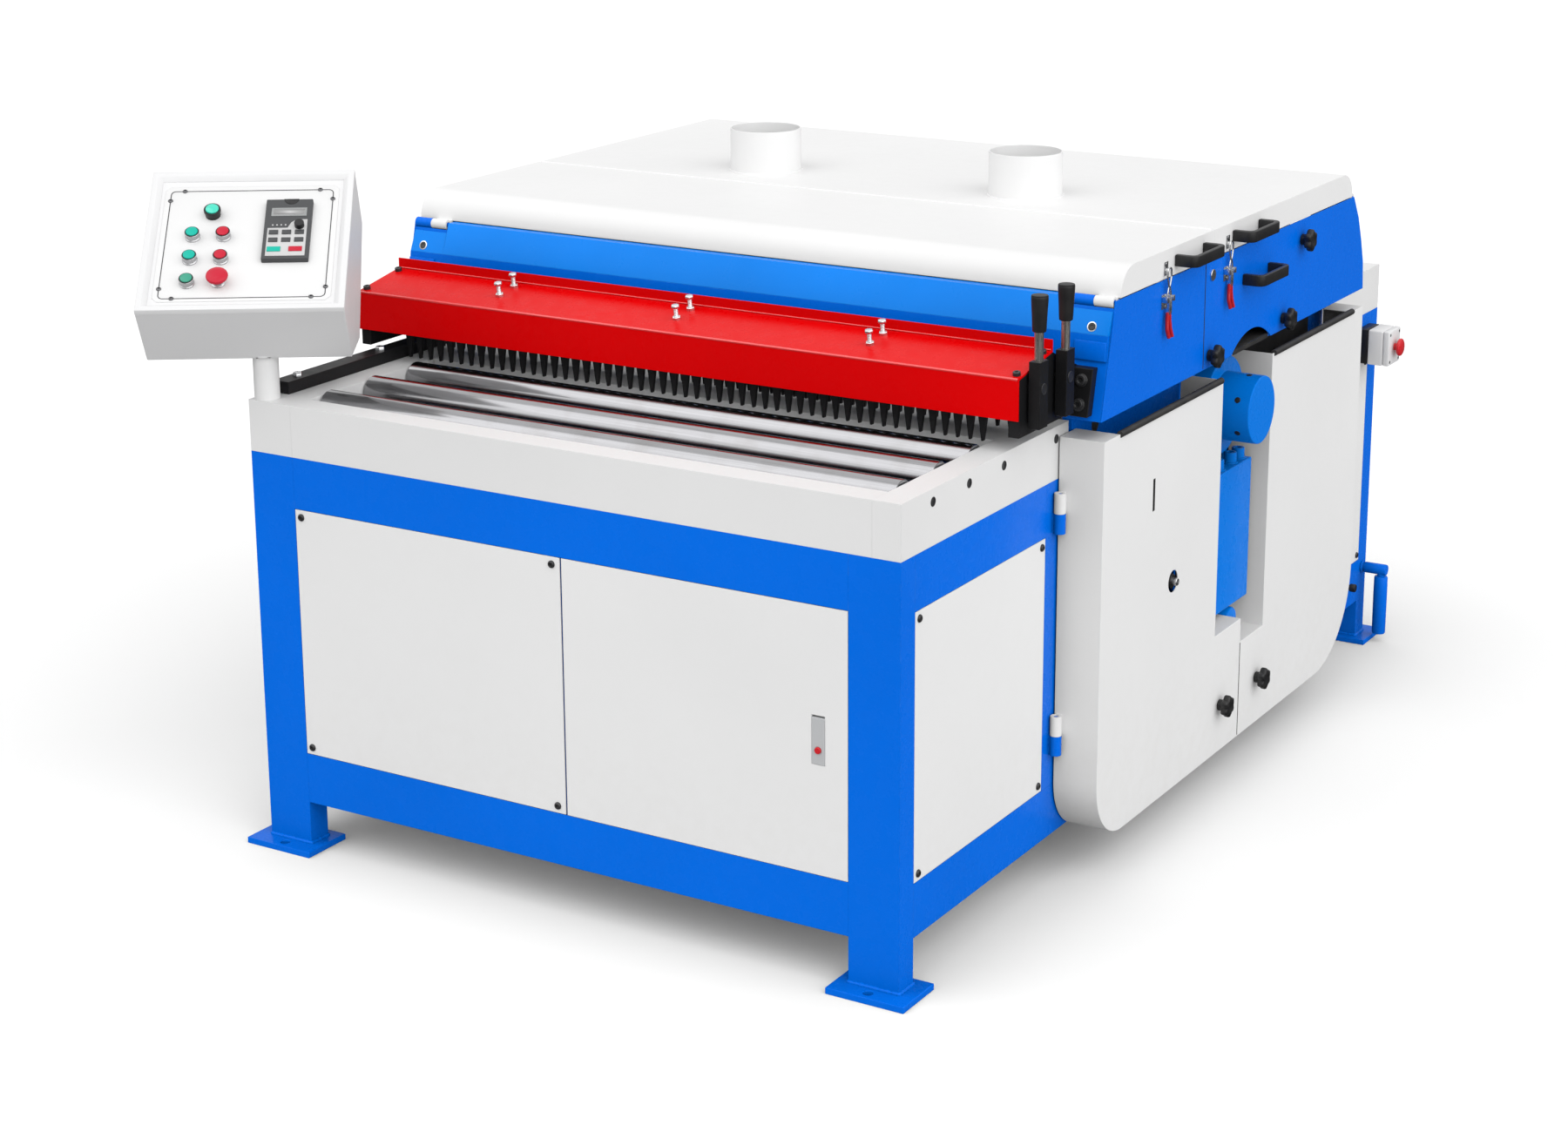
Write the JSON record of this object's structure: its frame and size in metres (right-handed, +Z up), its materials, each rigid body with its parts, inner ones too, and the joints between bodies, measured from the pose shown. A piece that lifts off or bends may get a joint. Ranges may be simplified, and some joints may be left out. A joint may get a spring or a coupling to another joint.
{
  "type": "multi rip saw",
  "caption": "Floor-standing multi rip saw: tube frame, roller infeed table, stop fingers under a red guard, split hood with dust ports, side belt covers and a tilted console",
  "frame": {"origin": "middle of the bounding box's bottom face, on the floor", "axes": "+Z up, +Y the way the timber travels, +X to the operator's right"},
  "size_m": [1.8344, 2.481, 1.2844],
  "materials": {
    "blue_paint": "glossy blue paint on welded steel",
    "white_paint": "off-white powder coat on sheet steel",
    "rim_paint": "light grey paint on machined cast rim bars",
    "red_paint": "bright red powder coat",
    "black_paint": "black oxide and satin black paint",
    "black_screws": "black oxide socket screws",
    "bright_bolts": "zinc plated hexagon bolts",
    "roller_chrome": "hard chromed rollers",
    "steel": "ground steel",
    "latch_steel": "zinc plated latch parts",
    "black_plastic": "moulded black plastic",
    "grey_plastic": "moulded grey plastic",
    "red_plastic": "moulded red plastic",
    "green_plastic": "moulded green plastic"
  },
  "bodies": {
    "frame": {"foot_plates": "blue_paint", "frame_legs": "blue_paint", "frame_rails": "blue_paint", "fixed_panels": "white_paint", "panel_screws": "black_screws", "hex_bolts": "bright_bolts", "table_side_bars": "rim_paint", "table_cross_bars": "rim_paint", "side_walls": "blue_paint", "fence_rail": "black_paint", "control_post": "white_paint", "hood_plates": "blue_paint", "hood_sides": "blue_paint", "finger_guard": "red_paint", "guard_arms": "black_paint", "bearing_housing": "blue_paint", "stop_box": "grey_plastic"},
    "stop_button": {"stop_button": "red_plastic"},
    "spindle": {"spindle_shaft": "steel", "saw_blades": "steel"},
    "infeed_roller_1": {"infeed_roller_1": "roller_chrome"},
    "infeed_roller_2": {"infeed_roller_2": "roller_chrome"},
    "infeed_roller_3": {"infeed_roller_3": "roller_chrome"},
    "outfeed_roller": {"outfeed_roller": "roller_chrome"},
    "feed_roller_front": {"feed_roller_front": "steel"},
    "feed_roller_rear": {"feed_roller_rear": "steel"},
    "press_roller_front": {"press_roller_front": "steel"},
    "press_roller_rear": {"press_roller_rear": "steel"},
    "electrical_door": {"electrical_door": "white_paint"},
    "door_latch": {"door_latch": "latch_steel"},
    "latch_button": {"latch_button": "red_plastic"},
    "front_belt_cover": {"front_belt_cover": "white_paint"},
    "front_cover_knob": {"front_cover_knob": "black_plastic"},
    "rear_belt_cover": {"rear_belt_cover": "white_paint"},
    "rear_cover_knob": {"rear_cover_knob": "black_plastic"},
    "side_door": {"side_door": "blue_paint", "side_door_handle": "black_plastic"},
    "side_door_knob_1": {"side_door_knob_1": "black_plastic"},
    "side_door_knob_2": {"side_door_knob_2": "black_plastic"},
    "side_door_knob_3": {"side_door_knob_3": "black_plastic"},
    "front_lid": {"front_lid": "white_paint", "front_lid_handle": "black_plastic"},
    "rear_lid": {"rear_lid": "white_paint", "rear_lid_handle": "black_plastic"},
    "front_latch_lever": {"front_latch_lever": "latch_steel"},
    "front_latch_bail": {"front_latch_bail": "latch_steel"},
    "rear_latch_lever": {"rear_latch_lever": "latch_steel"},
    "rear_latch_bail": {"rear_latch_bail": "latch_steel"},
    "finger_row_front": {"finger_row_front": "black_paint"},
    "finger_row_rear": {"finger_row_rear": "black_paint"},
    "lift_crank": {"lift_crank": "blue_paint"},
    "console": {"console_box": "white_paint", "keypad": "grey_plastic"},
    "keypad_dial": {"keypad_dial": "black_plastic"},
    "start_button_1": {"start_button_1": "green_plastic"},
    "stop_button_1": {"stop_button_1": "red_plastic"},
    "start_button_2": {"start_button_2": "green_plastic"},
    "stop_button_2": {"stop_button_2": "red_plastic"},
    "reset_button": {"reset_button": "green_plastic"},
    "console_stop": {"console_stop": "red_plastic"}
  },
  "joints": [
    {"name": "stop_button_press", "type": "slide", "parent": "frame", "child": "stop_button", "axis": [-1, 0, 0], "range_m": [0, 0.004], "stiffness_N_per_m": 400},
    {"name": "spindle_turn", "type": "hinge", "parent": "frame", "child": "spindle", "pos_m": [0.08425, 0.2325, 0.778], "axis": [1, 0, 0], "continuous": true},
    {"name": "infeed_roller_1_turn", "type": "hinge", "parent": "frame", "child": "infeed_roller_1", "pos_m": [0.08425, -0.9275, 0.865], "axis": [1, 0, 0], "continuous": true},
    {"name": "infeed_roller_2_turn", "type": "hinge", "parent": "frame", "child": "infeed_roller_2", "pos_m": [0.08425, -0.7975, 0.865], "axis": [1, 0, 0], "continuous": true},
    {"name": "infeed_roller_3_turn", "type": "hinge", "parent": "frame", "child": "infeed_roller_3", "pos_m": [0.08425, -0.6675, 0.865], "axis": [1, 0, 0], "continuous": true},
    {"name": "outfeed_roller_turn", "type": "hinge", "parent": "frame", "child": "outfeed_roller", "pos_m": [0.08425, 1.0525, 0.865], "axis": [1, 0, 0], "continuous": true},
    {"name": "feed_roller_front_turn", "type": "hinge", "parent": "frame", "child": "feed_roller_front", "pos_m": [0.08425, -0.2975, 0.855], "axis": [1, 0, 0], "continuous": true},
    {"name": "feed_roller_rear_turn", "type": "hinge", "parent": "frame", "child": "feed_roller_rear", "pos_m": [0.08425, 0.7525, 0.855], "axis": [1, 0, 0], "continuous": true},
    {"name": "press_roller_front_turn", "type": "hinge", "parent": "frame", "child": "press_roller_front", "pos_m": [0.08425, -0.2975, 0.99], "axis": [1, 0, 0], "continuous": true},
    {"name": "press_roller_rear_turn", "type": "hinge", "parent": "frame", "child": "press_roller_rear", "pos_m": [0.08425, 0.7525, 0.99], "axis": [1, 0, 0], "continuous": true},
    {"name": "electrical_door_swing", "type": "hinge", "parent": "frame", "child": "electrical_door", "pos_m": [0.10425, -1.0295, 0.443], "axis": [0, 0, 1], "range_deg": [-110, 0]},
    {"name": "door_latch_lift", "type": "hinge", "parent": "electrical_door", "child": "door_latch", "pos_m": [0.62525, -1.0325, 0.484], "axis": [1, 0, 0], "range_deg": [-45, 0]},
    {"name": "latch_button_press", "type": "slide", "parent": "door_latch", "child": "latch_button", "axis": [0, 1, 0], "range_m": [0, 0.002], "stiffness_N_per_m": 200},
    {"name": "front_belt_cover_swing", "type": "hinge", "parent": "frame", "child": "front_belt_cover", "pos_m": [0.79625, -0.4655, 0.5], "axis": [0, 0, 1], "range_deg": [-90, 0]},
    {"name": "front_cover_knob_turn", "type": "hinge", "parent": "front_belt_cover", "child": "front_cover_knob", "pos_m": [0.87625, 0.1175, 0.18898], "axis": [1, 0, 0], "continuous": true},
    {"name": "rear_belt_cover_swing", "type": "hinge", "parent": "frame", "child": "rear_belt_cover", "pos_m": [0.79625, 0.8625, 0.5], "axis": [0, 0, 1], "range_deg": [0, 90]},
    {"name": "rear_cover_knob_turn", "type": "hinge", "parent": "rear_belt_cover", "child": "rear_cover_knob", "pos_m": [0.87625, 0.3085, 0.18898], "axis": [1, 0, 0], "continuous": true},
    {"name": "side_door_pull", "type": "slide", "parent": "frame", "child": "side_door", "axis": [1, 0, 0], "range_m": [0, 0.15]},
    {"name": "side_door_knob_1_turn", "type": "hinge", "parent": "side_door", "child": "side_door_knob_1", "pos_m": [0.87225, 0.0175, 0.931], "axis": [1, 0, 0], "continuous": true},
    {"name": "side_door_knob_2_turn", "type": "hinge", "parent": "side_door", "child": "side_door_knob_2", "pos_m": [0.87225, 0.3915, 0.931], "axis": [1, 0, 0], "continuous": true},
    {"name": "side_door_knob_3_turn", "type": "hinge", "parent": "side_door", "child": "side_door_knob_3", "pos_m": [0.87225, 0.4835, 1.077], "axis": [1, 0, 0], "continuous": true},
    {"name": "front_lid_swing", "type": "hinge", "parent": "frame", "child": "front_lid", "pos_m": [0.08425, -0.4045, 1.114], "axis": [1, 0, 0], "range_deg": [0, 95]},
    {"name": "rear_lid_swing", "type": "hinge", "parent": "frame", "child": "rear_lid", "pos_m": [0.08425, 0.7805, 1.114], "axis": [1, 0, 0], "range_deg": [-95, 0]},
    {"name": "front_latch_lever_swing", "type": "hinge", "parent": "frame", "child": "front_latch_lever", "pos_m": [0.88025, -0.1965, 1.083], "axis": [0, 1, 0], "range_deg": [-120, 0]},
    {"name": "front_latch_bail_swing", "type": "hinge", "parent": "frame", "child": "front_latch_bail", "pos_m": [0.88025, -0.1965, 1.083], "axis": [0, 1, 0], "range_deg": [0, 60]},
    {"name": "rear_latch_lever_swing", "type": "hinge", "parent": "side_door", "child": "rear_latch_lever", "pos_m": [0.88025, 0.0935, 1.083], "axis": [0, 1, 0], "range_deg": [-120, 0]},
    {"name": "rear_latch_bail_swing", "type": "hinge", "parent": "side_door", "child": "rear_latch_bail", "pos_m": [0.88025, 0.0935, 1.083], "axis": [0, 1, 0], "range_deg": [0, 60]},
    {"name": "finger_row_front_lift", "type": "hinge", "parent": "frame", "child": "finger_row_front", "pos_m": [0.08425, -0.6275, 1], "axis": [1, 0, 0], "range_deg": [0, 20]},
    {"name": "finger_row_rear_lift", "type": "hinge", "parent": "frame", "child": "finger_row_rear", "pos_m": [0.08425, -0.5225, 1], "axis": [1, 0, 0], "range_deg": [0, 20]},
    {"name": "lift_crank_turn", "type": "hinge", "parent": "frame", "child": "lift_crank", "pos_m": [0.78425, 1.1775, 0.175], "axis": [1, 0, 0], "continuous": true},
    {"name": "console_turn", "type": "hinge", "parent": "frame", "child": "console", "pos_m": [-0.59075, -1.0125, 1], "axis": [0, 0, 1], "range_deg": [-50, 30]},
    {"name": "keypad_dial_turn", "type": "hinge", "parent": "console", "child": "keypad_dial", "pos_m": [-0.55187, -0.94318, 1.20826], "axis": [0.3127, -0.4636, 0.829], "range_deg": [0, 270]},
    {"name": "start_button_1_press", "type": "slide", "parent": "console", "child": "start_button_1", "axis": [-0.3127, 0.4636, -0.829], "range_m": [0, 0.004], "stiffness_N_per_m": 400},
    {"name": "stop_button_1_press", "type": "slide", "parent": "console", "child": "stop_button_1", "axis": [-0.3127, 0.4636, -0.829], "range_m": [0, 0.004], "stiffness_N_per_m": 400},
    {"name": "start_button_2_press", "type": "slide", "parent": "console", "child": "start_button_2", "axis": [-0.3127, 0.4636, -0.829], "range_m": [0, 0.004], "stiffness_N_per_m": 400},
    {"name": "stop_button_2_press", "type": "slide", "parent": "console", "child": "stop_button_2", "axis": [-0.3127, 0.4636, -0.829], "range_m": [0, 0.004], "stiffness_N_per_m": 400},
    {"name": "reset_button_press", "type": "slide", "parent": "console", "child": "reset_button", "axis": [-0.3127, 0.4636, -0.829], "range_m": [0, 0.004], "stiffness_N_per_m": 400},
    {"name": "console_stop_press", "type": "slide", "parent": "console", "child": "console_stop", "axis": [-0.3127, 0.4636, -0.829], "range_m": [0, 0.004], "stiffness_N_per_m": 400}
  ],
  "couplings": [
    {"joint": "feed_roller_rear_turn", "follows": "feed_roller_front_turn", "ratio": 1}
  ]
}
